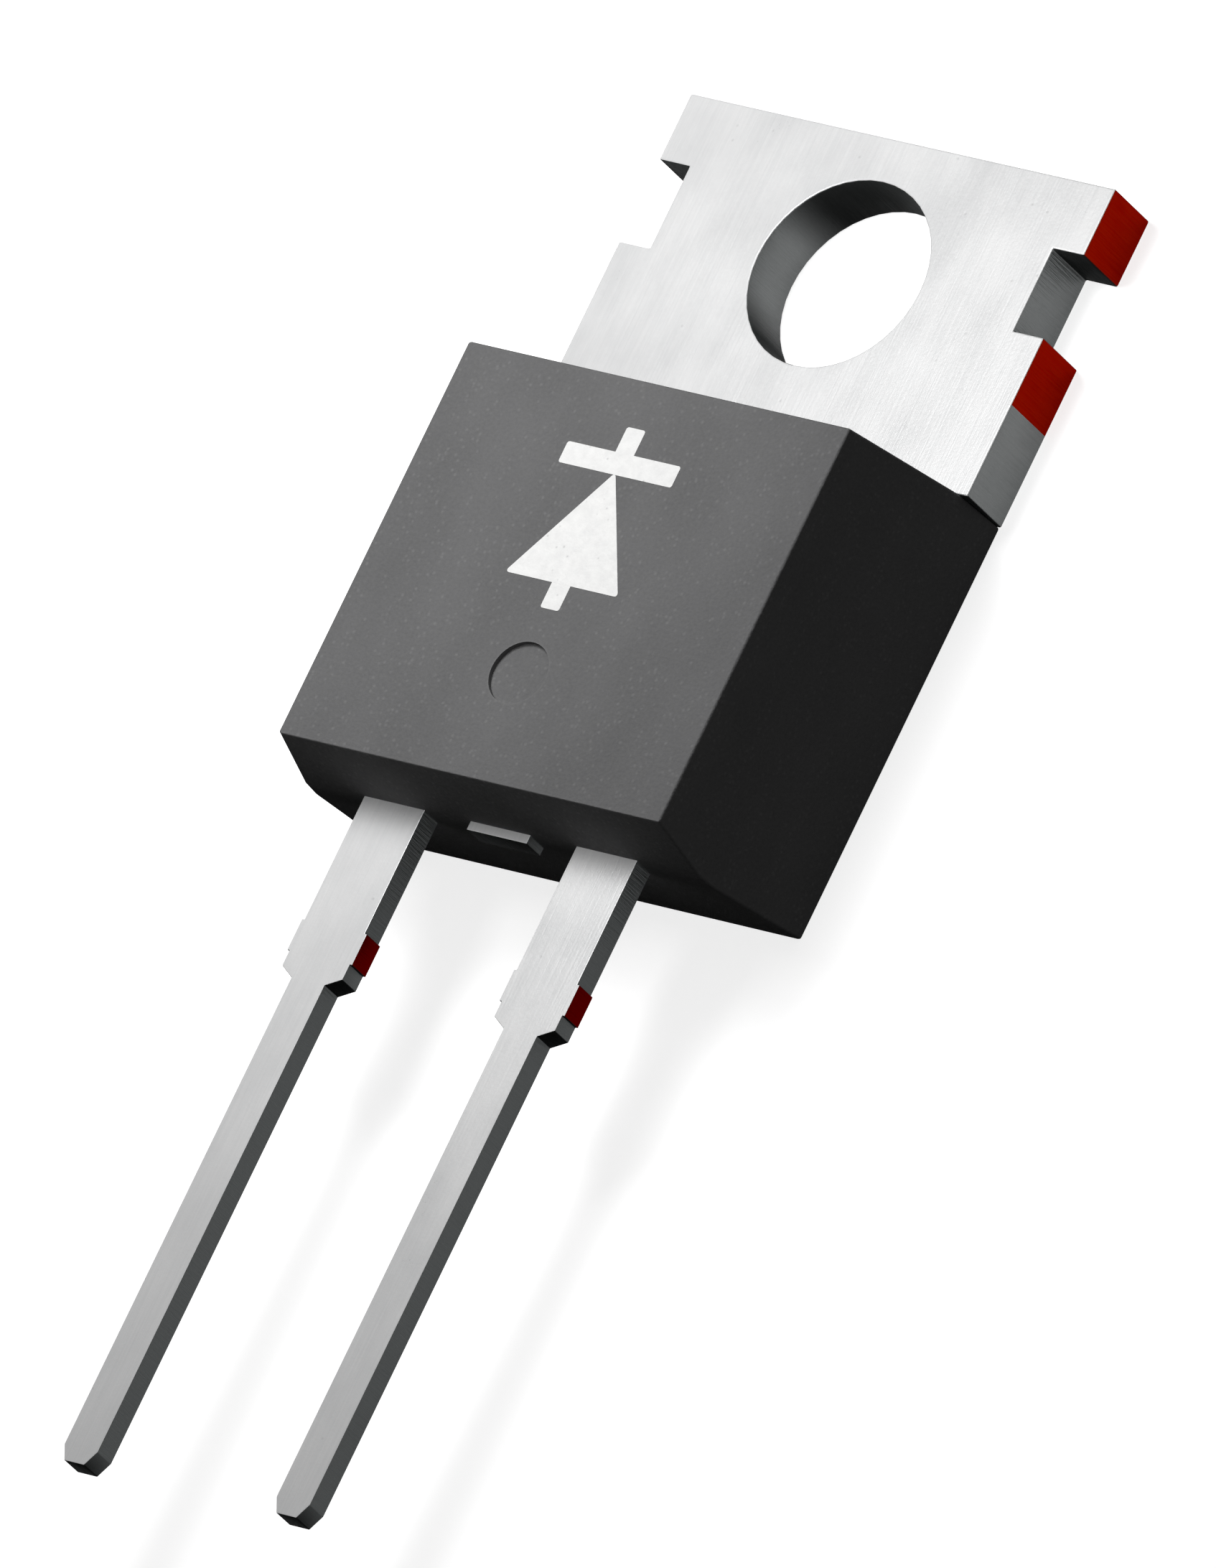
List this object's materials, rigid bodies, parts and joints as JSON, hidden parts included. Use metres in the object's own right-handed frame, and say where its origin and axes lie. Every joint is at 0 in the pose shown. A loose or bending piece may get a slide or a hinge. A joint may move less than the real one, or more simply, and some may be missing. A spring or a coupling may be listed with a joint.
{
  "type": "schottky diode",
  "caption": "Power Schottky diode in a flat moulded package with a drilled metal mounting tab, long flat leads and a cut-off middle lead.",
  "frame": {"origin": "centre of the mounting hole on the back face of the tab", "axes": "+Y towards the tab's far edge and -Y along the leads, +Z out of the moulded face, +X towards the anode lead"},
  "size_m": [0.0102, 0.0291, 0.0044],
  "materials": {
    "moulded_epoxy": "dark grey filled epoxy with a fine moulded grain",
    "tinned_copper": "satin tin plate over copper, with bare copper on the sheared edges",
    "white_ink": "thin printed ink, used for the symbol on the moulded face",
    "silicon": "metallised silicon chip",
    "soft_solder": "dull solder",
    "bond_aluminium": "drawn aluminium wire"
  },
  "bodies": {
    "root": {"epoxy_body": "moulded_epoxy", "cathode_frame": "tinned_copper", "anode_lead": "tinned_copper", "schottky_die": "silicon", "die_solder": "soft_solder", "bond_wire_1": "bond_aluminium", "bond_wire_2": "bond_aluminium"}
  },
  "joints": []
}
